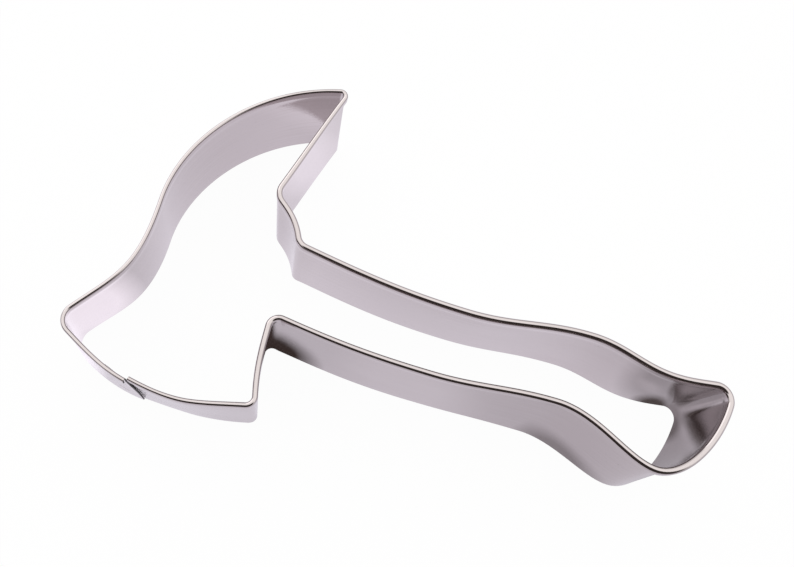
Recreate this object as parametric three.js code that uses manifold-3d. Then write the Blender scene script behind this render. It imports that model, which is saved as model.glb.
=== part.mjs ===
// Axe-shaped cookie cutter: one strip of thin stainless steel, hemmed along its top edge, bent to the
// outline of an axe and lapped on itself at the blade, where spot welds hold the lap.
// Millimetres, +Z up, standing on its cutting edge, with +X along the handle towards the butt.
import * as THREE from 'three';
import { mergeVertices } from 'three/addons/utils/BufferGeometryUtils.js';
import Module from 'manifold-3d';

// Strip and its folded rim
const STRIP_HEIGHT = 25; // cutting edge to the top of the rim
const SHEET = 0.3; // sheet thickness
const HEM_GAP_AT_LAP = 0.28; // space left inside the fold, pressed tight near the lap
const HEM_GAP_OPEN = 0.98; // the same along the handle, where the fold has sprung open
const HEM_PRESSED_FROM = 290; // along the rim, where the fold is tight again
const HEM_FULLNESS = 0.6; // below 1 the fold opens quickly and stays open for longer
const HEM_DEPTH = 1.8; // top of the rim to the raw edge of the folded leg

// Lap at the blade: the outer layer ends in a short flap, the inner layer in a hidden tongue
const SEAM_FROM_CROWN = 7.1; // along the rim, from the crown of the edge back to the end of the hem
const HEM_BREAK = 0.4; // between the two ends of the hem
const LAP_GAP = 0.1; // between the two layers
const NOTCH_GAP = 0.3; // raw edge of the hem to the tops of the flap and the tongue
const FLAP_LENGTH = 0.6; // past the end of the hem
const FLAP_CORNER = 3; // height cut off the flap's upper corner
const TONGUE_LENGTH = 6.6; // before the start of the hem
const TONGUE_CORNER = 1.5; // cut off the tongue's upper corner
const JOGGLE_LENGTH = 12; // along which the inner layer comes back to the outline

// Spot welds through both layers
const WELD_DIAMETER = 2.4;
const WELD_INSET = 6.4; // middle of each weld to the nearer edge of the lap
const WELD_CLEARANCE = 0.05; // round the nugget
const WELD_DISH = 0.04; // hollow that the electrode leaves in each face

// Plan of the rolled rim, from the eye: x along the handle, y from the handle's axis to the spike
const NECK_WIDTH = 15.6; // handle where it enters the head
const NECK_FLARE = 0.4; // back of the neck, past the eye towards the butt
const BACK_WAIST_FROM_EYE = 37;
const BACK_WAIST = 4.3; // handle's axis to the back of the waist
const FRONT_WAIST_FROM_EYE = 33;
const FRONT_WAIST = 10.3;
const BACK_SWELL_FROM_BUTT = 32;
const BACK_SWELL = 7.3;
const FRONT_SWELL_FROM_BUTT = 37;
const FRONT_SWELL = 8.4;
const HOLLOW_FROM_BUTT = 13;
const BACK_HOLLOW = 4;
const LOBE_FROM_BUTT = 14.3;
const FRONT_LOBE = 16;
const LOBE_EASE = 6.2; // how far the lobe's crest stays level on each side
const BACK_BUTT = 5.5;
const HANDLE_LENGTH = 95.9; // eye to the end of the butt
const BEARD_UNDERCUT = 0.5; // front of the neck, past the eye into the head
const HEEL_FLARE = 1.8; // past the eye, towards the butt
const HEEL_DROP = 25.9;
const CROWN_REACH = 15.5; // eye to the lowest point of the edge
const CROWN_DROP = 28.9;
const TOE_REACH = 38.7;
const TOE_DROP = 20.4;
const HEAD_DEPTH = 28.4; // eye to the back of the head
const HEAD_BACK_RISE = 8.2;
const HEAD_BACK_HEADING = 272.5; // degrees counter-clockwise from +X
const HEAD_BACK_EASE = 15; // how far the head's back stays straight on each side
const SPIKE_FLARE = 0.7;
const SPIKE_RISE = 44.7;
const ROOT_REACH = 7.2; // eye to the root of the spike
const ROOT_RISE = 16.9;

// Lean of the wall: how far the cutting edge stands outside its rim, before and after a bend where two
// are given
const CROWN_LEAN = -1.2;
const HEEL_LEAN = [0, 0.8];
const BEARD_LEAN = [0, 1.1];
const FRONT_WAIST_LEAN = 1.5;
const FRONT_SWELL_LEAN = 3;
const LOBE_LEAN = 1.6;
const BUTT_LEAN = 0.4;
const HOLLOW_LEAN = 0.5;
const BACK_SWELL_LEAN = 0;
const BACK_WAIST_LEAN = 1.1;
const NECK_LEAN = [1.1, 0.4];
const ROOT_LEAN = 0.6;
const SPIKE_LEAN = 0.7;
const HEAD_BACK_LEAN = 0.8;
const TOE_LEAN = [2.16, 1];

// Bends: the headings before and after, in degrees counter-clockwise from +X, and the radius
const HEEL_BEND = { arrive: 13, leave: 105, radius: 1.8 };
const BEARD_BEND = { arrive: 92, leave: -8, radius: 2 };
const BUTT_BEND = { arrive: 81, leave: 188, radius: 3.2 };
const NECK_BEND = { arrive: 171, leave: 114, radius: 2.8 };
const ROOT_BEND = { arrive: 142, leave: 74, radius: 3.2 };
const SPIKE_BEND = { arrive: 73, leave: 197, radius: 1.1 };
const TOE_BEND = { arrive: 235, leave: 330, radius: 3.2 };
const FAIRING = 0.38; // handle of each side's curve, for its chord

// Facets
const LONGEST_STEP = 5;
const SHARPEST_TURN = 12; // degrees
const JOGGLE_STEPS = 4;
const FOLD_STEPS = 6;
const WELD_SIDES = 24;
const TURN_SAMPLES = 24; // along one curve, to add up how far it turns
const NEAREST_STATIONS = 0.3;
const MERGE_WITHIN = 1e-4;

const LAP_HEIGHT = STRIP_HEIGHT - HEM_DEPTH - NOTCH_GAP;
const LAP_STEP = SHEET + LAP_GAP;
const WELD_HEIGHTS = { lower: WELD_INSET, upper: LAP_HEIGHT - WELD_INSET };

function heading(degrees) {
  const angle = THREE.MathUtils.degToRad(degrees);
  return new THREE.Vector2(Math.cos(angle), Math.sin(angle));
}

// A point that the outline passes through smoothly, with an optional length for its curve handles.
function pass(x, y, lean, degrees, ease) {
  const point = new THREE.Vector2(x, y);
  const along = heading(degrees);
  return { entry: point, exit: point, arrive: along, leave: along, leans: [lean], ease };
}

// A corner of the outline, rounded by an arc that is tangent to both headings.
function bend(x, y, lean, { arrive, leave, radius }) {
  const corner = new THREE.Vector2(x, y);
  const turn = THREE.MathUtils.euclideanModulo(leave - arrive + 180, 360) - 180;
  const side = Math.sign(turn);
  const setback = radius * Math.tan(THREE.MathUtils.degToRad(Math.abs(turn) / 2));
  const before = heading(arrive);
  const after = heading(leave);
  const entry = corner.clone().addScaledVector(before, -setback);
  const exit = corner.clone().addScaledVector(after, setback);
  const centre = entry.clone().addScaledVector(heading(arrive + 90 * side), radius);
  const from = entry.clone().sub(centre).angle();
  const to = exit.clone().sub(centre).angle();
  const arc = new THREE.EllipseCurve(centre.x, centre.y, radius, radius, from, to, side < 0);
  return { entry, exit, arrive: before, leave: after, leans: [lean].flat(), arc };
}

// The axe, counter-clockwise from the crown of its cutting edge, and the places where its lean is given.
function axeOutline() {
  const nodes = [
    pass(-CROWN_REACH, -CROWN_DROP, CROWN_LEAN, 0),
    bend(HEEL_FLARE, -HEEL_DROP, HEEL_LEAN, HEEL_BEND),
    bend(-BEARD_UNDERCUT, -NECK_WIDTH / 2, BEARD_LEAN, BEARD_BEND),
    pass(FRONT_WAIST_FROM_EYE, -FRONT_WAIST, FRONT_WAIST_LEAN, 0),
    pass(HANDLE_LENGTH - FRONT_SWELL_FROM_BUTT, -FRONT_SWELL, FRONT_SWELL_LEAN, 0),
    pass(HANDLE_LENGTH - LOBE_FROM_BUTT, -FRONT_LOBE, LOBE_LEAN, 0, LOBE_EASE),
    bend(HANDLE_LENGTH, BACK_BUTT, BUTT_LEAN, BUTT_BEND),
    pass(HANDLE_LENGTH - HOLLOW_FROM_BUTT, BACK_HOLLOW, HOLLOW_LEAN, 180),
    pass(HANDLE_LENGTH - BACK_SWELL_FROM_BUTT, BACK_SWELL, BACK_SWELL_LEAN, 180),
    pass(BACK_WAIST_FROM_EYE, BACK_WAIST, BACK_WAIST_LEAN, 180),
    bend(NECK_FLARE, NECK_WIDTH / 2, NECK_LEAN, NECK_BEND),
    bend(-ROOT_REACH, ROOT_RISE, ROOT_LEAN, ROOT_BEND),
    bend(SPIKE_FLARE, SPIKE_RISE, SPIKE_LEAN, SPIKE_BEND),
    pass(-HEAD_DEPTH, HEAD_BACK_RISE, HEAD_BACK_LEAN, HEAD_BACK_HEADING, HEAD_BACK_EASE),
    bend(-TOE_REACH, -TOE_DROP, TOE_LEAN, TOE_BEND),
  ];
  const path = new THREE.CurvePath();
  const leans = nodes.flatMap((node, index) => {
    const next = nodes[(index + 1) % nodes.length];
    const reach = FAIRING * node.exit.distanceTo(next.entry);
    const first = node.exit.clone().addScaledVector(node.leave, node.ease ?? reach);
    const second = next.entry.clone().addScaledVector(next.arrive, -(next.ease ?? reach));
    const start = path.curves.reduce((length, curve) => length + curve.getLength(), 0);
    if (node.arc) path.add(node.arc);
    path.add(new THREE.CubicBezierCurve(node.exit, first, second, next.entry));
    const places = node.arc ? [start, start + node.arc.getLength()] : [start];
    return places.map((place, end) => ({ place, lean: node.leans[end] ?? node.leans[0] }));
  });
  return { path, leans };
}

const { path: outline, leans } = axeOutline();
const perimeter = outline.getLength();
const seam = perimeter - SEAM_FROM_CROWN;

// Lean at a distance from the seam, eased from one given place to the next.
function leanAt(distance) {
  const along = THREE.MathUtils.euclideanModulo(seam + distance, perimeter);
  const before = leans.findLast(({ place }) => place <= along);
  const after = leans.find(({ place }) => place > along) ?? { place: perimeter, lean: leans[0].lean };
  const share = THREE.MathUtils.smoothstep(along, before.place, after.place);
  return THREE.MathUtils.lerp(before.lean, after.lean, share);
}

// Distances from the seam of one turn of the outline's own stations, closer where it bends.
function outlineStations() {
  const stations = [];
  let start = 0;
  for (const curve of outline.curves) {
    const length = curve.getLength();
    let turn = 0;
    for (let sample = 0; sample < TURN_SAMPLES; sample += 1) {
      const here = curve.getTangentAt(sample / TURN_SAMPLES);
      turn += here.angleTo(curve.getTangentAt((sample + 1) / TURN_SAMPLES));
    }
    turn = THREE.MathUtils.radToDeg(turn);
    const steps = Math.ceil(Math.max(length / LONGEST_STEP, turn / SHARPEST_TURN));
    for (let step = 0; step < steps; step += 1) {
      stations.push(THREE.MathUtils.euclideanModulo(start + (length * step) / steps - seam, perimeter));
    }
    start += length;
  }
  return stations;
}

// All stations from the end of the tongue to the end of the flap.
function stripStations() {
  const joggle = Array.from(
    { length: JOGGLE_STEPS + 1 },
    (_, index) => FLAP_LENGTH + (JOGGLE_LENGTH * index) / JOGGLE_STEPS,
  );
  const fixed = [
    -TONGUE_LENGTH,
    TONGUE_CORNER - TONGUE_LENGTH,
    HEM_BREAK,
    ...joggle,
    perimeter,
    perimeter + FLAP_LENGTH,
  ];
  const turns = outlineStations().flatMap((place) => [place - perimeter, place, place + perimeter]);
  const kept = turns.filter(
    (place) =>
      place > -TONGUE_LENGTH &&
      place < perimeter + FLAP_LENGTH &&
      fixed.every((other) => Math.abs(other - place) > NEAREST_STATIONS),
  );
  return [...fixed, ...kept].sort((a, b) => a - b);
}

// Point of the strip at a distance from the seam, an offset out of the rim's middle and a height.
function placeAt(distance, offset, height) {
  const share = THREE.MathUtils.euclideanModulo(seam + distance, perimeter) / perimeter;
  const { x, y } = outline.getPoint(share);
  const tangent = outline.getTangent(share);
  const out = offset + leanAt(distance) * Math.max(0, 1 - height / LAP_HEIGHT);
  return new THREE.Vector3(x + tangent.y * out, y - tangent.x * out, height);
}

// The inner layer runs inside the outer one, and eases back to the outline past the flap.
function layerShift(distance) {
  return -LAP_STEP * (1 - THREE.MathUtils.smoothstep(distance, FLAP_LENGTH, FLAP_LENGTH + JOGGLE_LENGTH));
}

// Height of the strip where it has no hem: its lapped ends have their upper corners cut off.
function lapTop(distance) {
  const tongueCut = Math.max(0, TONGUE_CORNER - TONGUE_LENGTH - distance);
  const flapCut = (FLAP_CORNER * Math.max(0, distance - perimeter)) / FLAP_LENGTH;
  return LAP_HEIGHT - tongueCut - flapCut;
}

// Inner radius of the fold: tight as far as the tongue reaches, most open half-way round.
function foldInner(distance) {
  const share = (distance - TONGUE_LENGTH) / (HEM_PRESSED_FROM - TONGUE_LENGTH);
  const opening = Math.sin(Math.PI * THREE.MathUtils.clamp(share, 0, 1)) ** HEM_FULLNESS;
  return THREE.MathUtils.lerp(HEM_GAP_AT_LAP, HEM_GAP_OPEN, opening) / 2;
}

// Section of the strip, counter-clockwise, as pairs of offset out of the rim's middle and height.
function hemmedSection(distance) {
  const inner = foldInner(distance);
  const outer = inner + SHEET;
  const foldHeight = STRIP_HEIGHT - outer;
  const legEnd = STRIP_HEIGHT - HEM_DEPTH;
  const arc = (radius, from, to) =>
    Array.from({ length: FOLD_STEPS + 1 }, (_, index) => {
      const angle = from + ((to - from) * index) / FOLD_STEPS;
      return [radius * Math.cos(angle), foldHeight + radius * Math.sin(angle)];
    });
  return [
    [-outer, 0],
    [-inner, 0],
    [-inner, LAP_HEIGHT],
    ...arc(inner, Math.PI, 0),
    [inner, legEnd],
    [outer, legEnd],
    ...arc(outer, 0, Math.PI),
    [-outer, LAP_HEIGHT],
  ];
}

// The strip as one closed sheet: hemmed round the outline, plain on the tongue and the flap.
function stripGeometry() {
  const stations = stripStations();
  const sections = stations.map(hemmedSection);
  const hemmed = sections[0].map((_, index) => index);
  const plain = [0, 1, 2, hemmed.length - 1];
  const rim = hemmed.slice(2);
  const positions = [];
  const triangles = [];
  const rings = stations.map((distance, station) => {
    const hasHem = distance >= HEM_BREAK && distance <= perimeter;
    return sections[station].map(([offset, height]) => {
      const top = hasHem ? height : Math.min(height, lapTop(distance));
      positions.push(...placeAt(distance, offset + layerShift(distance), top).toArray());
      return positions.length / 3 - 1;
    });
  });
  const skin = (loop, near, far) => {
    loop.forEach((a, index) => {
      const b = loop[(index + 1) % loop.length];
      triangles.push(near[a], far[b], near[b], near[a], far[a], far[b]);
    });
  };
  const cap = (loop, station, forward) => {
    const contour = loop.map((index) => new THREE.Vector2(...sections[station][index]));
    for (const triangle of THREE.ShapeUtils.triangulateShape(contour, [])) {
      const corners = triangle.map((index) => rings[station][loop[index]]);
      triangles.push(...(forward ? corners.reverse() : corners));
    }
  };
  for (let index = 0; index + 1 < stations.length; index += 1) {
    const hasHem = stations[index] >= HEM_BREAK && stations[index + 1] <= perimeter;
    skin(hasHem ? hemmed : plain, rings[index], rings[index + 1]);
  }
  cap(plain, 0, false);
  cap(rim, stations.indexOf(HEM_BREAK), false);
  cap(rim, stations.indexOf(perimeter), true);
  cap(plain, stations.length - 1, true);
  const geometry = new THREE.BufferGeometry();
  geometry.setAttribute('position', new THREE.Float32BufferAttribute(positions, 3));
  geometry.setIndex(triangles);
  return geometry;
}

const wasm = await Module();
wasm.setup();

function solidOf(geometry) {
  const bare = new THREE.BufferGeometry();
  bare.setAttribute('position', geometry.getAttribute('position').clone());
  bare.setIndex(geometry.getIndex().clone());
  const merged = mergeVertices(bare, MERGE_WITHIN);
  return new wasm.Manifold(
    new wasm.Mesh({
      numProp: 3,
      vertProperties: new Float32Array(merged.getAttribute('position').array),
      triVerts: new Uint32Array(merged.getIndex().array),
    }),
  );
}

function geometryOf(solid) {
  const mesh = solid.getMesh();
  const geometry = new THREE.BufferGeometry();
  geometry.setAttribute('position', new THREE.Float32BufferAttribute(mesh.vertProperties, 3));
  geometry.setIndex(new THREE.Uint32BufferAttribute(mesh.triVerts, 1));
  geometry.computeVertexNormals();
  return geometry;
}

// Welds sit half-way along the tongue, square to the leaning wall, with their middle between the layers.
const lapMiddle = -HEM_GAP_AT_LAP / 2 - SHEET - LAP_GAP / 2;
const lapThickness = 2 * SHEET + LAP_GAP;

function weldCentre(height) {
  return placeAt(-TONGUE_LENGTH / 2, lapMiddle, height);
}

function weldTurn(height) {
  const reach = WELD_DIAMETER / 2;
  const before = placeAt(-TONGUE_LENGTH / 2 - reach, lapMiddle, height);
  const along = placeAt(-TONGUE_LENGTH / 2 + reach, lapMiddle, height).sub(before);
  const up = weldCentre(height + reach).sub(weldCentre(height - reach));
  return new THREE.Quaternion().setFromUnitVectors(new THREE.Vector3(0, 1, 0), along.cross(up).normalize());
}

function weldHole(height) {
  const radius = WELD_DIAMETER / 2 + WELD_CLEARANCE;
  const hole = new THREE.CylinderGeometry(radius, radius, 2 * lapThickness, WELD_SIDES);
  hole.applyQuaternion(weldTurn(height));
  hole.translate(...weldCentre(height).toArray());
  return solidOf(hole);
}

// A nugget fills its holes and is dished at both ends by the electrodes.
function weldNugget() {
  const end = lapThickness / 2;
  const radius = WELD_DIAMETER / 2;
  const profile = [
    new THREE.Vector2(0, WELD_DISH - end),
    new THREE.Vector2(radius, -end),
    new THREE.Vector2(radius, end),
    new THREE.Vector2(0, end - WELD_DISH),
  ];
  return new THREE.LatheGeometry(profile, WELD_SIDES);
}

const brightSteel = new THREE.MeshStandardMaterial({ color: 0xc9c3c7, roughness: 0.22, metalness: 1 });
const weldSteel = new THREE.MeshStandardMaterial({ color: 0x8d8685, roughness: 0.45, metalness: 1 });

let strip = solidOf(stripGeometry());
for (const height of Object.values(WELD_HEIGHTS)) {
  strip = strip.subtract(weldHole(height));
}
const cutterStrip = new THREE.Mesh(geometryOf(strip), brightSteel);
cutterStrip.name = 'cutter_strip';

const cutter = new THREE.Group();
cutter.add(cutterStrip);
for (const [name, height] of Object.entries(WELD_HEIGHTS)) {
  const nugget = new THREE.Mesh(weldNugget(), weldSteel);
  nugget.name = `spot_weld_${name}`;
  nugget.quaternion.copy(weldTurn(height));
  nugget.position.copy(weldCentre(height));
  cutter.add(nugget);
}

// The origin is under the middle of the whole cutter, at the level of the cutting edge.
const extent = new THREE.Box3().setFromBufferAttribute(cutterStrip.geometry.getAttribute('position'));
const middle = extent.getCenter(new THREE.Vector3());
cutter.position.set(-middle.x, -middle.y, 0);

export default cutter;
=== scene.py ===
import math

import bpy
import numpy as np
from mathutils import Matrix, Vector, noise


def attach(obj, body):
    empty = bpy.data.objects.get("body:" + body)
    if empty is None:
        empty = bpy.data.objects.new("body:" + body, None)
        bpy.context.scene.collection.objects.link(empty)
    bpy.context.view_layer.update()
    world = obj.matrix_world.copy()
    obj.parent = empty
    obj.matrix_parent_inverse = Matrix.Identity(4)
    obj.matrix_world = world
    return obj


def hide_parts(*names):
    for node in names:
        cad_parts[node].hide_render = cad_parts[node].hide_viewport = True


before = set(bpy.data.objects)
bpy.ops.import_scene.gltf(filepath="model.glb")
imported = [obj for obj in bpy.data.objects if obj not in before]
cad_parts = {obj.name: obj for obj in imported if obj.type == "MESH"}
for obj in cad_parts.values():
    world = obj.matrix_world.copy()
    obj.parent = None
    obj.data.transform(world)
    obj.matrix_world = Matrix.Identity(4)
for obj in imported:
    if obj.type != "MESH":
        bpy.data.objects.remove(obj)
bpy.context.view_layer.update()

# Cutter strip
# One strip of bright stainless steel, slit to width and folded outwards along its top edge into a safe
# rim, then bent on pins to the outline of an axe. The raw bottom edge is the one that cuts the dough.
MM = 0.001
STRIP_HEIGHT = 25.0
SHEET = 0.3
HEM_DEPTH = 1.8
TIGHT_FOLD = 0.425
OPEN_FOLD = 0.775
PRESSED_FROM = 290.0
FULLNESS = 0.6
CREASE = 0.1
CREASE_HEIGHT = 0.6

# Its two ends are lapped at the blade: the outer layer stops in a short flap past the end of its hem,
# the inner layer runs on behind it as a tongue, one sheet further in. Past the seam the rim springs in.
SEAM_FROM_CROWN = 7.1
HEM_BREAK = 0.4
LAP_GAP = 0.1
NOTCH_GAP = 0.3
LAP_HEIGHT = STRIP_HEIGHT - HEM_DEPTH - NOTCH_GAP
LAP_STEP = SHEET + LAP_GAP
TONGUE_LENGTH = 6.6
TONGUE_CORNER = 1.5
TONGUE_DROP = 3.2
TONGUE_SLOPE = 0.9
JOGGLE_LENGTH = 12.0
SPRUNG = 0.25
SPRUNG_LENGTH = 0.6
SPRUNG_SHARE = 0.2
FLAP_LENGTH = 0.6
FLAP_ENDS = 0.12
FLAP_TAIL = 0.15
FLAP_TAIL_FROM = 0.75

# The axe's outline runs along the middle of the rim, from the eye: x along the handle, y to the spike.
EYE_FROM_MIDDLE = np.array((-28.5151, -7.69987))
NECK_WIDTH = 15.6
HANDLE_LENGTH = 95.9
FAIRING = 0.38


def heading(degrees):
    return np.array((math.cos(math.radians(degrees)), math.sin(math.radians(degrees))))


def crest(x, y, lean, degrees, ease=None):
    """A point that the outline passes smoothly, and how far the foot leans out of the rim there."""
    point = np.array((x, y))
    return {"entry": point, "exit": point, "leans": (lean,), "arrive": degrees, "leave": degrees,
            "ease": ease}


def pin_bend(x, y, leans, arrive, leave, radius):
    """A corner bent round a pin, tangent to the headings, and its leans, before and after it."""
    turn = (leave - arrive + 180) % 360 - 180
    setback = radius * math.tan(math.radians(abs(turn) / 2))
    corner = np.array((x, y))
    entry = corner - setback * heading(arrive)
    way_out = corner + setback * heading(leave)
    return {"entry": entry, "exit": way_out, "leans": leans, "arrive": arrive, "leave": leave, "turn": turn,
            "radius": radius, "ease": None}


AXE = [
    crest(-15.5, -28.9, -1.2, 0),
    pin_bend(1.8, -25.9, (0, 0.8), 13, 105, 1.8),
    pin_bend(-0.5, -NECK_WIDTH / 2, (0, 1.1), 92, -8, 2),
    crest(33, -10.3, 1.5, 0),
    crest(HANDLE_LENGTH - 37, -8.4, 3, 0),
    crest(HANDLE_LENGTH - 14.3, -16, 1.6, 0, 6.2),
    pin_bend(HANDLE_LENGTH, 5.5, (0.4, 0.4), 81, 188, 3.2),
    crest(HANDLE_LENGTH - 13, 4, 0.5, 180),
    crest(HANDLE_LENGTH - 32, 7.3, 0, 180),
    crest(37, 4.3, 1.1, 180),
    pin_bend(0.4, NECK_WIDTH / 2, (1.1, 0.4), 171, 114, 2.8),
    pin_bend(-7.2, 16.9, (0.6, 0.6), 142, 74, 3.2),
    pin_bend(0.7, 44.7, (0.7, 0.7), 73, 197, 1.1),
    crest(-28.4, 8.2, 0.8, 272.5, 15),
    pin_bend(-38.7, -20.4, (2.16, 1), 235, 330, 3.2),
]
ARC_STEP = 2.0
SIDE_SAMPLES = 80


def rim_line():
    """Dense points of the outline, its headings and its distances from the crown of the blade."""
    points = []
    lean_marks = []
    for node, after in zip(AXE, AXE[1:] + AXE[:1]):
        lean_marks.append(len(points))
        if "turn" in node:
            steps = math.ceil(abs(node["turn"]) / ARC_STEP)
            lean_marks.append(len(points) + steps)
            side = math.copysign(90, node["turn"])
            centre = node["entry"] + node["radius"] * heading(node["arrive"] + side)
            for step in range(steps):
                along = node["arrive"] + node["turn"] * step / steps
                points.append(centre + node["radius"] * heading(along - side))
        reach = FAIRING * np.linalg.norm(after["entry"] - node["exit"])
        first = node["exit"] + heading(node["leave"]) * (node["ease"] or reach)
        second = after["entry"] - heading(after["arrive"]) * (after["ease"] or reach)
        for t in np.linspace(0, 1, SIDE_SAMPLES, endpoint=False):
            far = 1 - t
            points.append(far**3 * node["exit"] + 3 * far * far * t * first
                          + 3 * far * t * t * second + t**3 * after["entry"])
    points = np.array(points + points[:1]) + EYE_FROM_MIDDLE
    chords = np.diff(points, axis=0)
    angles = np.unwrap(np.arctan2(chords[:, 1], chords[:, 0]))
    before = np.concatenate(([angles[-1] - 2 * math.pi], angles))
    following = np.concatenate((angles, [angles[0] + 2 * math.pi]))
    lengths = np.concatenate(([0], np.cumsum(np.linalg.norm(chords, axis=1))))
    return points, (before + following) / 2, lengths, np.append(lengths[lean_marks], lengths[-1])


line_points, line_angles, line_lengths, lean_places = rim_line()
leans = np.array([lean for node in AXE + AXE[:1] for lean in node["leans"]])
PERIMETER = line_lengths[-1]
SEAM = PERIMETER - SEAM_FROM_CROWN


def place_at(distances):
    """Points on the outline and their outward normals, at distances from the seam."""
    along = (SEAM + np.asarray(distances)) % PERIMETER
    points = np.stack([np.interp(along, line_lengths, line_points[:, axis]) for axis in (0, 1)], -1)
    angles = np.interp(along, line_lengths, line_angles)
    return points, np.stack([np.sin(angles), -np.cos(angles)], -1)


def smooth(low, high, value):
    share = np.clip((value - low) / (high - low), 0, 1)
    return share * share * (3 - 2 * share)


def lean_at(distances):
    """How far the foot leans out, eased from one given place to the next."""
    along = (SEAM + np.asarray(distances)) % PERIMETER
    step = np.clip(np.searchsorted(lean_places, along, "right"), 1, len(lean_places) - 1)
    share = smooth(lean_places[step - 1], lean_places[step], along)
    return leans[step - 1] + share * (leans[step] - leans[step - 1])


LONGEST_STEP = 0.9
LAP_LONGEST_STEP = 0.3
LAP_MARGIN = 1.0
SHARPEST_TURN = math.radians(5)
TRIALS_PER_MM = 20


def stations(start, end):
    """Distances from start to end, close together where the strip bends and at the lap."""
    fine = np.linspace(start, end, int((end - start) * TRIALS_PER_MM))
    along = (SEAM + fine) % PERIMETER
    turns = np.abs(np.diff(np.unwrap(np.interp(along, line_lengths, line_angles))))
    middles = (fine[1:] + fine[:-1]) / 2
    from_seam = np.minimum(np.abs(middles), np.abs(middles - PERIMETER))
    longest = np.where(from_seam < TONGUE_LENGTH + LAP_MARGIN, LAP_LONGEST_STEP, LONGEST_STEP)
    effort = np.concatenate(([0], np.cumsum(np.maximum(np.diff(fine) / longest, turns / SHARPEST_TURN))))
    count = math.ceil(effort[-1]) + 1
    return np.interp(np.linspace(0, effort[-1], count), effort, fine)


WALL_ROWS = 36
FOLD_STEPS = 18
LEG_ROWS = 4


def fold_radius(distance):
    """Outer radius of the folded rim: pressed tight on the head, it springs open along the handle."""
    share = min(max((distance - TONGUE_LENGTH) / (PRESSED_FROM - TONGUE_LENGTH), 0), 1)
    return TIGHT_FOLD + (OPEN_FOLD - TIGHT_FOLD) * math.sin(math.pi * share) ** FULLNESS


def hem_section(distance):
    """Closed section as offsets out of the rim's middle and heights: outer wall, rim, inner wall."""
    outer = fold_radius(distance)
    inner = outer - SHEET
    leg_end = STRIP_HEIGHT - HEM_DEPTH
    bend_height = STRIP_HEIGHT - outer
    rows = np.linspace(0, LAP_HEIGHT, WALL_ROWS)
    neck = np.linspace(LAP_HEIGHT, bend_height, LEG_ROWS + 1)[1:-1]
    leg = np.linspace(bend_height, leg_end, LEG_ROWS)[1:]
    turn = np.linspace(math.pi, 0, FOLD_STEPS)

    def wall(offset, heights):
        """The wall steps out a little below the hem, where its raw edge presses through."""
        steps = CREASE * heights / leg_end * (1 - smooth(leg_end - CREASE_HEIGHT, leg_end, heights))
        return np.column_stack([offset + steps, heights])

    def arc(radius, angles):
        return np.column_stack([radius * np.cos(angles), bend_height + radius * np.sin(angles)])

    def leg_face(offset, heights):
        return np.column_stack([np.full(len(heights), offset), heights])

    rim = np.concatenate((
        wall(-inner, neck),
        arc(inner, turn),
        leg_face(inner, leg),
        leg_face(outer, leg[::-1]),
        arc(outer, turn[::-1]),
        wall(-outer, neck[::-1]),
    ))
    return wall(-inner, rows), rim, wall(-outer, rows[::-1])


WAVE = 0.05
WAVE_LENGTH = 16.0
WAVE_FROM = 6.0
WAVE_TO = 16.0
SETTLED = 0.022


def wave(distance, height):
    """How far the springy sheet stands off its true line, in millimetres."""
    spot = Vector((distance / WAVE_LENGTH, height / WAVE_LENGTH, 0.5))
    free = smooth(0, WAVE_FROM, height) * (1 - smooth(WAVE_TO, LAP_HEIGHT, height))
    return WAVE * noise.noise(spot) * free - SETTLED


def ring(with_hem, distance, flap_share=0.0):
    """One section of the strip, with the vertices' places along and up the flat strip."""
    outer_wall, rim, inner_wall = hem_section(distance)
    section = np.concatenate((outer_wall, rim, inner_wall) if with_hem else (outer_wall, inner_wall))
    offsets = section[:, 0].copy()
    heights = section[:, 1].copy()
    along = np.full(len(section), distance)
    low = np.maximum(0, 1 - heights / LAP_HEIGHT)
    if flap_share:
        bulge = 4 * low * (1 - low) * (FLAP_LENGTH - FLAP_ENDS)
        tail = FLAP_TAIL * smooth(FLAP_TAIL_FROM, 1, low)
        along = PERIMETER + flap_share * (FLAP_ENDS + bulge + tail)
    elif distance < 0:
        corner_cut = max(0, TONGUE_CORNER - TONGUE_LENGTH - distance)
        cut = TONGUE_DROP * smooth(0, TONGUE_SLOPE, -distance) + corner_cut
        heights *= (LAP_HEIGHT - cut) / LAP_HEIGHT
    sprung = SPRUNG * smooth(-SPRUNG_LENGTH, 0, distance) * (1 - smooth(0, SPRUNG_SHARE, low))
    offsets -= (LAP_STEP + sprung) * (1 - smooth(FLAP_LENGTH, FLAP_LENGTH + JOGGLE_LENGTH, distance))
    turned = distance % PERIMETER
    offsets += [wave(turned, height) for height in heights]
    offsets += lean_at(along) * low
    points, normals = place_at(along)
    spots = points + normals * offsets[:, None]
    flat = np.stack([along, heights], -1)
    return np.column_stack([spots, heights]) * MM, flat


FLAP_STEPS = 8
SHARP_EDGE = math.radians(40)
vertices = []
flats = []
faces = []
sheared = []
rings = []


def add_ring(with_hem, distance, flap_share=0.0):
    spots, flat = ring(with_hem, distance, flap_share)
    first = sum(len(part) for part in vertices)
    vertices.append(spots)
    flats.append(flat)
    rings.append(np.arange(first, first + len(spots)))


def skin(near, far, raw_edges):
    """Walls between two rings. The raw edges are the thin faces that the shears left."""
    for a in range(len(near)):
        b = (a + 1) % len(near)
        faces.append((near[a], far[a], far[b], near[b]))
        sheared.append(a in raw_edges)


def cap(indices):
    faces.append(tuple(indices))
    sheared.append(True)


def wall_of(indices):
    return np.concatenate((indices[:WALL_ROWS], indices[-WALL_ROWS:]))


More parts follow.
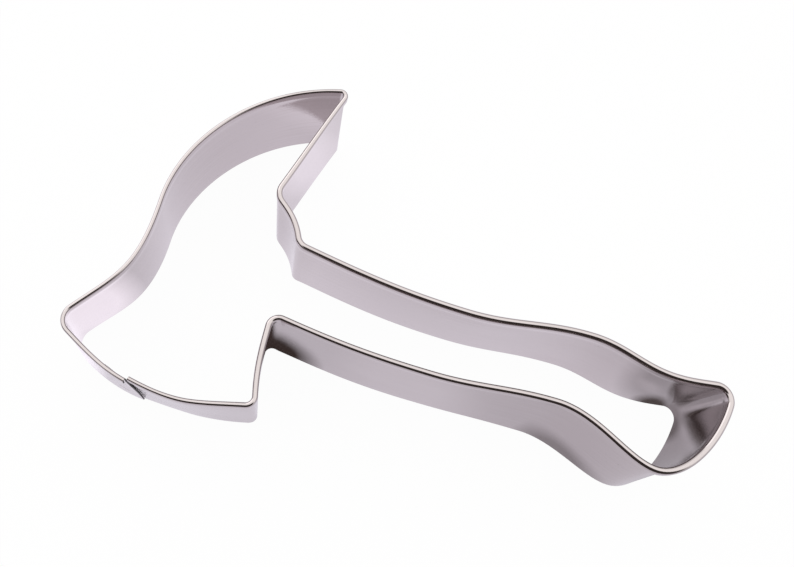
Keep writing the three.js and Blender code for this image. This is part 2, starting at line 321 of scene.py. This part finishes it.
# Where the raw edges lie in a ring: the top of a single layer or the end of the hem, and the foot.
LAP_EDGES = (WALL_ROWS - 1, 2 * WALL_ROWS - 1)
HEM_EDGES = (WALL_ROWS + 2 * LEG_ROWS - 3 + FOLD_STEPS, 2 * (WALL_ROWS + 2 * LEG_ROWS - 2 + FOLD_STEPS) - 1)
for distance in stations(-TONGUE_LENGTH, HEM_BREAK)[:-1]:
    add_ring(False, distance)
    if len(rings) > 1:
        skin(rings[-2], rings[-1], LAP_EDGES)
cap(rings[0])
tongue_end = rings[-1]
add_ring(True, HEM_BREAK)
skin(tongue_end, wall_of(rings[-1]), LAP_EDGES)
cap(rings[-1][WALL_ROWS - 1:1 - WALL_ROWS])
for distance in stations(HEM_BREAK, PERIMETER)[1:]:
    add_ring(True, distance)
    skin(rings[-2], rings[-1], HEM_EDGES)
cap(rings[-1][WALL_ROWS - 1:1 - WALL_ROWS][::-1])
flap_start = wall_of(rings[-1])
for step in range(1, FLAP_STEPS + 1):
    add_ring(False, PERIMETER, step / FLAP_STEPS)
    skin(flap_start, rings[-1], LAP_EDGES)
    flap_start = rings[-1]
cap(rings[-1][::-1])

strip_mesh = bpy.data.meshes.new("cutter_strip_bright")
strip_mesh.from_pydata(np.concatenate(vertices).tolist(), [], [list(map(int, face)) for face in faces])
strip_uv = strip_mesh.uv_layers.new(name="strip")
corners = np.zeros(len(strip_mesh.loops), dtype=np.int32)
strip_mesh.loops.foreach_get("vertex_index", corners)
strip_uv.data.foreach_set("uv", (np.concatenate(flats)[corners] / STRIP_HEIGHT).ravel().astype(np.float32))
strip_mesh.polygons.foreach_set("material_index", np.array(sheared, dtype=np.int32))
strip_mesh.shade_smooth()
strip_mesh.set_sharp_from_angle(angle=SHARP_EDGE)
strip = bpy.data.objects.new("cutter_strip_bright", strip_mesh)
bpy.context.scene.collection.objects.link(strip)

# The steel is bright, with fine lines along the strip from the rolls, a few specks and a haze of handling.
BRIGHT_STEEL = (0.54, 0.495, 0.495, 1)
DULL_STEEL = (0.505, 0.458, 0.455, 1)
SPECK = (0.09, 0.07, 0.065, 1)
ROLL_LINES = (0.9, 70, 1)
LINE_CONTRAST = (0.35, 0.75)
ROLL_HAIRS = (3, 260, 1)
HAZE = (1.6, 3.2, 1)
SPECK_CELLS = (7, 7, 1)
SPECK_EDGE = (0.035, 0.02)
SPECK_DEPTH = 0.7
NOISE_SPREAD = (0.3, 0.7)
ROLLED_ROUGHNESS = (0.05, 0.1)
HAZE_SPREAD = (0.4, 0.7)
HAZE_ROUGHNESS = 0.06
GRAIN_STRENGTH = 0.035
GRAIN_DEPTH = 0.0002


def stretched_noise(material, scale, detail):
    """Noise laid out along and up the flat strip."""
    tree = material.node_tree
    flat = tree.nodes.new("ShaderNodeUVMap")
    flat.uv_map = "strip"
    stretch = tree.nodes.new("ShaderNodeMapping")
    stretch.inputs["Scale"].default_value = scale
    texture = tree.nodes.new("ShaderNodeTexNoise")
    texture.inputs["Scale"].default_value = 1
    texture.inputs["Detail"].default_value = detail
    tree.links.new(flat.outputs["UV"], stretch.inputs["Vector"])
    tree.links.new(stretch.outputs["Vector"], texture.inputs["Vector"])
    return texture


def ranged(material, source, low, high, start, end):
    """A texture's value from low to high, spread over start to end."""
    tree = material.node_tree
    spread = tree.nodes.new("ShaderNodeMapRange")
    spread.inputs["From Min"].default_value = low
    spread.inputs["From Max"].default_value = high
    spread.inputs["To Min"].default_value = start
    spread.inputs["To Max"].default_value = end
    tree.links.new(source, spread.inputs["Value"])
    return spread.outputs["Result"]


def mixed(material, share, first, second):
    """A colour between two, each a value or a node's output."""
    tree = material.node_tree
    blend = tree.nodes.new("ShaderNodeMix")
    blend.data_type = "RGBA"
    for name, colour in (("A", first), ("B", second)):
        socket = next(entry for entry in blend.inputs if entry.name == name and entry.type == "RGBA")
        if isinstance(colour, tuple):
            socket.default_value = colour
        else:
            tree.links.new(colour, socket)
    tree.links.new(share, blend.inputs["Factor"])
    return next(entry for entry in blend.outputs if entry.type == "RGBA")


steel = bpy.data.materials.new("bright_rolled_steel")
steel.use_nodes = True
steel_links = steel.node_tree.links
steel_shader = steel.node_tree.nodes["Principled BSDF"]
steel_shader.inputs["Metallic"].default_value = 1.0
lines = stretched_noise(steel, ROLL_LINES, detail=4)
hairs = stretched_noise(steel, ROLL_HAIRS, detail=2)
haze = stretched_noise(steel, HAZE, detail=3)
dull_share = ranged(steel, lines.outputs["Fac"], *LINE_CONTRAST, 0, 1)
rolled_colour = mixed(steel, dull_share, BRIGHT_STEEL, DULL_STEEL)
specks = steel.node_tree.nodes.new("ShaderNodeTexVoronoi")
specks.inputs["Scale"].default_value = 1
speck_flat = steel.node_tree.nodes.new("ShaderNodeUVMap")
speck_flat.uv_map = "strip"
speck_cells = steel.node_tree.nodes.new("ShaderNodeMapping")
speck_cells.inputs["Scale"].default_value = SPECK_CELLS
steel_links.new(speck_flat.outputs["UV"], speck_cells.inputs["Vector"])
steel_links.new(speck_cells.outputs["Vector"], specks.inputs["Vector"])
speck_share = ranged(steel, specks.outputs["Distance"], *SPECK_EDGE, 0, SPECK_DEPTH)
steel_links.new(mixed(steel, speck_share, rolled_colour, SPECK), steel_shader.inputs["Base Color"])
roughness = steel.node_tree.nodes.new("ShaderNodeMath")
roughness.operation = "ADD"
rolled_roughness = ranged(steel, lines.outputs["Fac"], *NOISE_SPREAD, *ROLLED_ROUGHNESS)
hazed_roughness = ranged(steel, haze.outputs["Fac"], *HAZE_SPREAD, 0, HAZE_ROUGHNESS)
steel_links.new(rolled_roughness, roughness.inputs[0])
steel_links.new(hazed_roughness, roughness.inputs[1])
steel_links.new(roughness.outputs[0], steel_shader.inputs["Roughness"])
grain = steel.node_tree.nodes.new("ShaderNodeBump")
grain.inputs["Strength"].default_value = GRAIN_STRENGTH
grain.inputs["Distance"].default_value = GRAIN_DEPTH
steel_links.new(hairs.outputs["Fac"], grain.inputs["Height"])
steel_links.new(grain.outputs["Normal"], steel_shader.inputs["Normal"])
strip_mesh.materials.append(steel)

# Where the shears went through, the edge is dull and scored across the sheet. Its colour is also painted
# nearly black: painted shade for the shadow in the gap at the flap's end and in the hem's open ends.
SHEARED_STEEL_AND_SHADE = (0.013, 0.011, 0.0105, 1)
BURNISHED_STEEL_AND_SHADE = (0.05, 0.044, 0.042, 1)
SHEAR_MARKS = (160, 3, 1)
EDGE_ROUGHNESS = (0.6, 0.35)
edge = bpy.data.materials.new("sheared_steel_and_painted_shade")
edge.use_nodes = True
edge_shader = edge.node_tree.nodes["Principled BSDF"]
edge_shader.inputs["Metallic"].default_value = 1.0
marks = stretched_noise(edge, SHEAR_MARKS, detail=3)
burnished_share = ranged(edge, marks.outputs["Fac"], *NOISE_SPREAD, 0, 1)
# The sheared colours are dull steel and painted shade at once.
edge_colour_and_shade = mixed(edge, burnished_share, SHEARED_STEEL_AND_SHADE, BURNISHED_STEEL_AND_SHADE)
edge.node_tree.links.new(edge_colour_and_shade, edge_shader.inputs["Base Color"])
edge_roughness = ranged(edge, marks.outputs["Fac"], *NOISE_SPREAD, *EDGE_ROUGHNESS)
edge.node_tree.links.new(edge_roughness, edge_shader.inputs["Roughness"])
strip_mesh.materials.append(edge)
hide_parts("cutter_strip")
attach(strip, "root")

# Spot welds
# Two resistance welds fuse the lap, half-way along the tongue. The outside is pressed nearly flush and
# polished; inside, each electrode leaves a shallow crater with a raised lip, dull and tinted by the heat.
WELD_RADIUS = 1.2
WELD_INSET = 6.4
WELD_CRATER = ((0, 0.012), (0.45, 0.01), (0.8, 0.026), (1.0, 0.032), (1.14, 0.014), (1.2, -0.02))
WELD_FLUSH = 0.25
WELD_SIDES = 48
WELD_GREY = (0.36, 0.335, 0.33, 1)
WELD_STRAW = (0.42, 0.33, 0.22, 1)
WELD_BLUE = (0.25, 0.255, 0.3, 1)
STRAW_RING = (0.0005, 0.0009)
BLUE_RING = (0.0009, 0.0012)
WELD_OUTSIDE = (0, 0.0002)
WELD_ROUGHNESS = (0.3, 0.55)
WELD_POLISH = 0.3
WELD_SHARP_EDGE = math.radians(50)
PIT_SCALE = 1800
PIT_STRENGTH = 0.3
PIT_DEPTH = 0.0001
lap_half = SHEET + LAP_GAP / 2
lap_middle = -TIGHT_FOLD - LAP_GAP / 2


def lap_point(distance, height):
    """Middle of the lap, between its two layers."""
    (point,), (normal,) = place_at([distance])
    lean = lean_at([distance])[0] * (1 - height / LAP_HEIGHT)
    offset = lap_middle + CREASE * height / (STRIP_HEIGHT - HEM_DEPTH) + lean
    return Vector((*(point + normal * offset), height))


heated = bpy.data.materials.new("heated_weld")
heated.use_nodes = True
heated_links = heated.node_tree.links
heated_shader = heated.node_tree.nodes["Principled BSDF"]
heated_shader.inputs["Metallic"].default_value = 1.0
own_place = heated.node_tree.nodes.new("ShaderNodeTexCoord")
from_axis = heated.node_tree.nodes.new("ShaderNodeVectorMath")
from_axis.operation = "LENGTH"
pitting = heated.node_tree.nodes.new("ShaderNodeTexNoise")
pitting.inputs["Scale"].default_value = PIT_SCALE
pitting.inputs["Detail"].default_value = 4
heated_links.new(own_place.outputs["Object"], from_axis.inputs[0])
heated_links.new(own_place.outputs["Object"], pitting.inputs["Vector"])
straw_share = ranged(heated, from_axis.outputs["Value"], *STRAW_RING, 0, 1)
blue_share = ranged(heated, from_axis.outputs["Value"], *BLUE_RING, 0, 1)
straw = mixed(heated, straw_share, WELD_GREY, WELD_STRAW)
tinted = mixed(heated, blue_share, straw, WELD_BLUE)
own_axes = heated.node_tree.nodes.new("ShaderNodeSeparateXYZ")
heated_links.new(own_place.outputs["Object"], own_axes.inputs[0])
outside = ranged(heated, own_axes.outputs["Z"], *WELD_OUTSIDE, 0, 1)
heated_links.new(mixed(heated, outside, tinted, BRIGHT_STEEL), heated_shader.inputs["Base Color"])
dull = ranged(heated, pitting.outputs["Fac"], *NOISE_SPREAD, *WELD_ROUGHNESS)
polish = heated.node_tree.nodes.new("ShaderNodeMath")
polish.operation = "MULTIPLY"
heated_links.new(dull, polish.inputs[0])
heated_links.new(ranged(heated, outside, 0, 1, 1, WELD_POLISH), polish.inputs[1])
heated_links.new(polish.outputs[0], heated_shader.inputs["Roughness"])
pits = heated.node_tree.nodes.new("ShaderNodeBump")
pits.inputs["Strength"].default_value = PIT_STRENGTH
pits.inputs["Distance"].default_value = PIT_DEPTH
heated_links.new(pitting.outputs["Fac"], pits.inputs["Height"])
heated_links.new(pits.outputs["Normal"], heated_shader.inputs["Normal"])

for name, height in (("lower", WELD_INSET), ("upper", LAP_HEIGHT - WELD_INSET)):
    profile = [(radius, lap_half + rise * WELD_FLUSH) for radius, rise in WELD_CRATER]
    profile += [(radius, -lap_half - rise) for radius, rise in reversed(WELD_CRATER)]
    weld_vertices = []
    weld_faces = []
    for radius, level in profile[1:-1]:
        for side in range(WELD_SIDES):
            angle = 2 * math.pi * side / WELD_SIDES
            weld_vertices.append((radius * math.cos(angle) * MM, radius * math.sin(angle) * MM, level * MM))
    top = len(weld_vertices)
    weld_vertices += [(0, 0, profile[0][1] * MM), (0, 0, profile[-1][1] * MM)]
    for row in range(len(profile) - 3):
        for side in range(WELD_SIDES):
            after = (side + 1) % WELD_SIDES
            upper = row * WELD_SIDES
            lower = upper + WELD_SIDES
            weld_faces.append((upper + side, lower + side, lower + after, upper + after))
    for side in range(WELD_SIDES):
        after = (side + 1) % WELD_SIDES
        weld_faces.append((top, side, after))
        weld_faces.append((top + 1, top - WELD_SIDES + after, top - WELD_SIDES + side))
    weld_mesh = bpy.data.meshes.new(f"spot_weld_{name}_crater")
    weld_mesh.from_pydata(weld_vertices, [], weld_faces)
    weld_mesh.shade_smooth()
    weld_mesh.set_sharp_from_angle(angle=WELD_SHARP_EDGE)
    weld_mesh.materials.append(heated)
    weld = bpy.data.objects.new(f"spot_weld_{name}_crater", weld_mesh)
    middle = -TONGUE_LENGTH / 2
    along = lap_point(middle + WELD_RADIUS, height) - lap_point(middle - WELD_RADIUS, height)
    up = lap_point(middle, height + WELD_RADIUS) - lap_point(middle, height - WELD_RADIUS)
    weld.rotation_mode = "QUATERNION"
    weld.rotation_quaternion = along.cross(up).to_track_quat("Z", "Y")
    weld.location = lap_point(middle, height) * MM
    bpy.context.scene.collection.objects.link(weld)
    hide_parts(f"spot_weld_{name}")
    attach(weld, "root")

# Floor
# A sheet of white card that the cutter stands on. To the eye it is all but pure white, so only a faint
# shadow is left. In the steel it is mirrored as a painted glow with a cool painted tint: painted light,
# graded across the card, painted shade in the walls' pockets and along some feet, and painted pools of
# light where the bright walls would throw it.
FLOOR_SIZE = 3.0
PAPER = (0.94, 0.93, 0.935, 1)
SEEN_WHITE = 0.97
MIRRORED_WHITE = 0.86
# The cool tint of the mirrored card is a painted reflection tint, and its glow is painted light: brighter
# to the left, dimmer in front and far behind.
PAINTED_REFLECTION_TINT = (1.0, 0.955, 1.055, 1)
PAINTED_LIGHT_ACROSS = ((-0.06, 1.06), (0.065, 0.97))
PAINTED_SHADE_IN_FRONT = ((-0.02, 0.8), (0.0, 1.0))
PAINTED_SHADE_BEHIND = ((0.035, 1.0), (0.07, 0.6))

# Each pool is painted shade or painted light on the mirrored card. It has its place, its reach along and
# across, its turn in degrees, and its depth or its gain.
POOL_EDGES = (1, 0.4)
SHADE = (0.05, 0.03, 0.027, 1)
BEARD_SHADE = ((-0.0275, -0.017, 0), (0.012, 0.004), -5, 1.0)
BUTT_SHADE = ((0.061, -0.0125, 0), (0.0135, 0.0135), 0, 0.46)
HOLLOW_SHADE = ((0.0605, -0.0035, 0), (0.006, 0.003), 0, 0.95)
CORNER_SHADE = ((0.0662, -0.0077, 0), (0.0024, 0.0055), 0, 0.66)
LOBE_SHADE = ((0.04, -0.0205, 0), (0.014, 0.004), -19, 0.5)
SWELL_SHADE = ((0.036, -0.025, 0), (0.022, 0.013), 0, 0.05)
HEAD_SHADE = ((-0.045, 0.002, 0), (0.02, 0.03), 0, 0.15)
TOE_LIGHT = ((-0.0615, -0.0235, 0), (0.014, 0.0085), 55, 1.75)
BUTT_LIGHT = ((0.0584, -0.009, 0), (0.006, 0.002), 24, 1.3)
SPIKE_LIGHT = ((-0.0245, 0.027, 0), (0.011, 0.011), 0, 1.18)
HANDLE_LIGHT = ((0.003, -0.022, 0), (0.02, 0.008), 0, 1.13)
half = FLOOR_SIZE / 2
floor_corners = [(-half, -half, 0), (half, -half, 0), (half, half, 0), (-half, half, 0)]
floor_mesh = bpy.data.meshes.new("white_card")
floor_mesh.from_pydata(floor_corners, [], [(0, 1, 2, 3)])
floor = bpy.data.objects.new("white_card", floor_mesh)
bpy.context.scene.collection.objects.link(floor)
card = bpy.data.materials.new("white_card")
card.use_nodes = True
nodes = card.node_tree.nodes
links = card.node_tree.links
nodes.clear()
out = nodes.new("ShaderNodeOutputMaterial")
paper = nodes.new("ShaderNodeBsdfDiffuse")
paper.inputs["Color"].default_value = PAPER
glow = nodes.new("ShaderNodeEmission")
rays = nodes.new("ShaderNodeLightPath")
seen_card = nodes.new("ShaderNodeMixShader")
links.new(ranged(card, rays.outputs["Is Camera Ray"], 0, 1, 0, SEEN_WHITE), seen_card.inputs["Fac"])
links.new(paper.outputs[0], seen_card.inputs[1])
links.new(glow.outputs[0], seen_card.inputs[2])
spot = nodes.new("ShaderNodeTexCoord")
axes = nodes.new("ShaderNodeSeparateXYZ")
links.new(spot.outputs["Object"], axes.inputs[0])


def joined(operation, first, second):
    node = nodes.new("ShaderNodeMath")
    node.operation = operation
    links.new(first, node.inputs[0])
    links.new(second, node.inputs[1])
    return node.outputs[0]


def graded(axis, start, end):
    """Painted light on the mirrored card, graded from one place and level along an axis to another."""
    return ranged(card, axes.outputs[axis], start[0], end[0], start[1], end[1])


def pool(place, reach, turn, outside, inside):
    """A value that changes inside an oval on the card, softly from its edge to its middle."""
    oval = nodes.new("ShaderNodeMapping")
    oval.vector_type = "TEXTURE"
    oval.inputs["Location"].default_value = place
    oval.inputs["Rotation"].default_value = (0, 0, math.radians(turn))
    oval.inputs["Scale"].default_value = (*reach, 1)
    away = nodes.new("ShaderNodeVectorMath")
    away.operation = "LENGTH"
    links.new(spot.outputs["Object"], oval.inputs["Vector"])
    links.new(oval.outputs["Vector"], away.inputs[0])
    return ranged(card, away.outputs["Value"], *POOL_EDGES, outside, inside)


# The shade pools are painted shade on the mirrored card's tint, and the light pools are painted light on
# its glow.
tone = PAINTED_REFLECTION_TINT
handle_shades = (BUTT_SHADE, HOLLOW_SHADE, CORNER_SHADE, LOBE_SHADE, SWELL_SHADE)
for place, reach, turn, depth in (BEARD_SHADE, *handle_shades, HEAD_SHADE):
    tone = mixed(card, pool(place, reach, turn, 0, depth), tone, SHADE)
strength = joined("MULTIPLY", graded("X", *PAINTED_LIGHT_ACROSS), graded("Y", *PAINTED_SHADE_IN_FRONT))
strength = joined("MULTIPLY", strength, graded("Y", *PAINTED_SHADE_BEHIND))
for place, reach, turn, gain in (TOE_LIGHT, BUTT_LIGHT, SPIKE_LIGHT, HANDLE_LIGHT):
    strength = joined("MULTIPLY", strength, pool(place, reach, turn, 1, gain))
# The mirrored card's glow is painted light, seen only in the steel.
painted_mirrored_light = nodes.new("ShaderNodeEmission")
links.new(tone, painted_mirrored_light.inputs["Color"])
links.new(strength, painted_mirrored_light.inputs["Strength"])
mirrored = joined("MAXIMUM", rays.outputs["Is Glossy Ray"], rays.outputs["Is Transmission Ray"])
whole_card = nodes.new("ShaderNodeMixShader")
links.new(ranged(card, mirrored, 0, 1, 0, MIRRORED_WHITE), whole_card.inputs["Fac"])
links.new(seen_card.outputs[0], whole_card.inputs[1])
links.new(painted_mirrored_light.outputs[0], whole_card.inputs[2])
links.new(whole_card.outputs[0], out.inputs["Surface"])
floor_mesh.materials.append(card)

# Light
# A white tent all round, brighter overhead, with a dark opening in front for the camera and a gap low at
# its left corner. The key light glows through the tent behind and to the left.
TENT_TOP = (1.48, 1.465, 1.44, 1)
TENT_FOOT = (0.58, 0.56, 0.56, 1)
TENT_RISE = (0.05, 0.68)
DARK = (0.05, 0.039, 0.037, 1)

# An opening has its heading, its rise and the outer and inner angles of its soft edge, in degrees.
FRONT_OPENING = (-72, 33, 49, 41)
CORNER_GAP = (-140, 8, 26, 16)
WHITE = (1.0, 1.0, 1.0, 1.0)
KEY_PLACE = (-0.5, 0.42, 0.3)
KEY_SIZE = 0.6
KEY_RADIANCE = 0.8
world = bpy.data.worlds.new("light_tent")
world.use_nodes = True
nodes = world.node_tree.nodes
links = world.node_tree.links
sky = nodes["Background"]
whither = nodes.new("ShaderNodeTexCoord")
upward = nodes.new("ShaderNodeSeparateXYZ")
links.new(whither.outputs["Generated"], upward.inputs[0])
tent = mixed(world, ranged(world, upward.outputs["Z"], *TENT_RISE, 0, 1), TENT_FOOT, TENT_TOP)
for turn, rise, outer_edge, inner_edge in (FRONT_OPENING, CORNER_GAP):
    level = math.cos(math.radians(rise))
    facing = nodes.new("ShaderNodeVectorMath")
    facing.operation = "DOT_PRODUCT"
    facing.inputs[1].default_value = (*(level * heading(turn)), math.sin(math.radians(rise)))
    links.new(whither.outputs["Generated"], facing.inputs[0])
    edges = math.cos(math.radians(outer_edge)), math.cos(math.radians(inner_edge))
    tent = mixed(world, ranged(world, facing.outputs["Value"], *edges, 0, 1), tent, DARK)
rays = nodes.new("ShaderNodeLightPath")
links.new(mixed(world, rays.outputs["Is Camera Ray"], tent, WHITE), sky.inputs["Color"])
bpy.context.scene.world = world
key_data = bpy.data.lights.new("key", "AREA")
key_data.size = KEY_SIZE
key_data.energy = KEY_RADIANCE * math.pi * KEY_SIZE ** 2
key = bpy.data.objects.new("key", key_data)
key.location = KEY_PLACE
key.rotation_mode = "QUATERNION"
key.rotation_quaternion = Vector(KEY_PLACE).to_track_quat("Z", "Y")
bpy.context.scene.collection.objects.link(key)

# Camera
# It stands close above the blade, tilted a little towards the spike and rolled. Its focal length is about
# as long as the picture is wide, which gives the perspective of the photograph.
PHOTO_WIDTH = 794
FOCAL_PIXELS = 834.0
CAMERA_PLACE = (-0.019133, -0.058443, 0.183255)
CAMERA_TURN = -12.15
CAMERA_TILT = 20.0
CAMERA_ROLL = 28.34
NEAREST_SEEN = 0.01
camera_data = bpy.data.cameras.new("camera")
camera_data.sensor_fit = "HORIZONTAL"
camera_data.lens = FOCAL_PIXELS / PHOTO_WIDTH * camera_data.sensor_width
camera_data.clip_start = NEAREST_SEEN
camera = bpy.data.objects.new("camera", camera_data)
turned = Matrix.Rotation(math.radians(CAMERA_TURN), 4, "Z")
tilted = Matrix.Rotation(math.radians(CAMERA_TILT), 4, "X")
rolled = Matrix.Rotation(math.radians(CAMERA_ROLL), 4, "Z")
camera.matrix_world = Matrix.Translation(CAMERA_PLACE) @ turned @ tilted @ rolled
bpy.context.scene.collection.objects.link(camera)
bpy.context.scene.camera = camera
bpy.context.scene.view_settings.view_transform = "Standard"
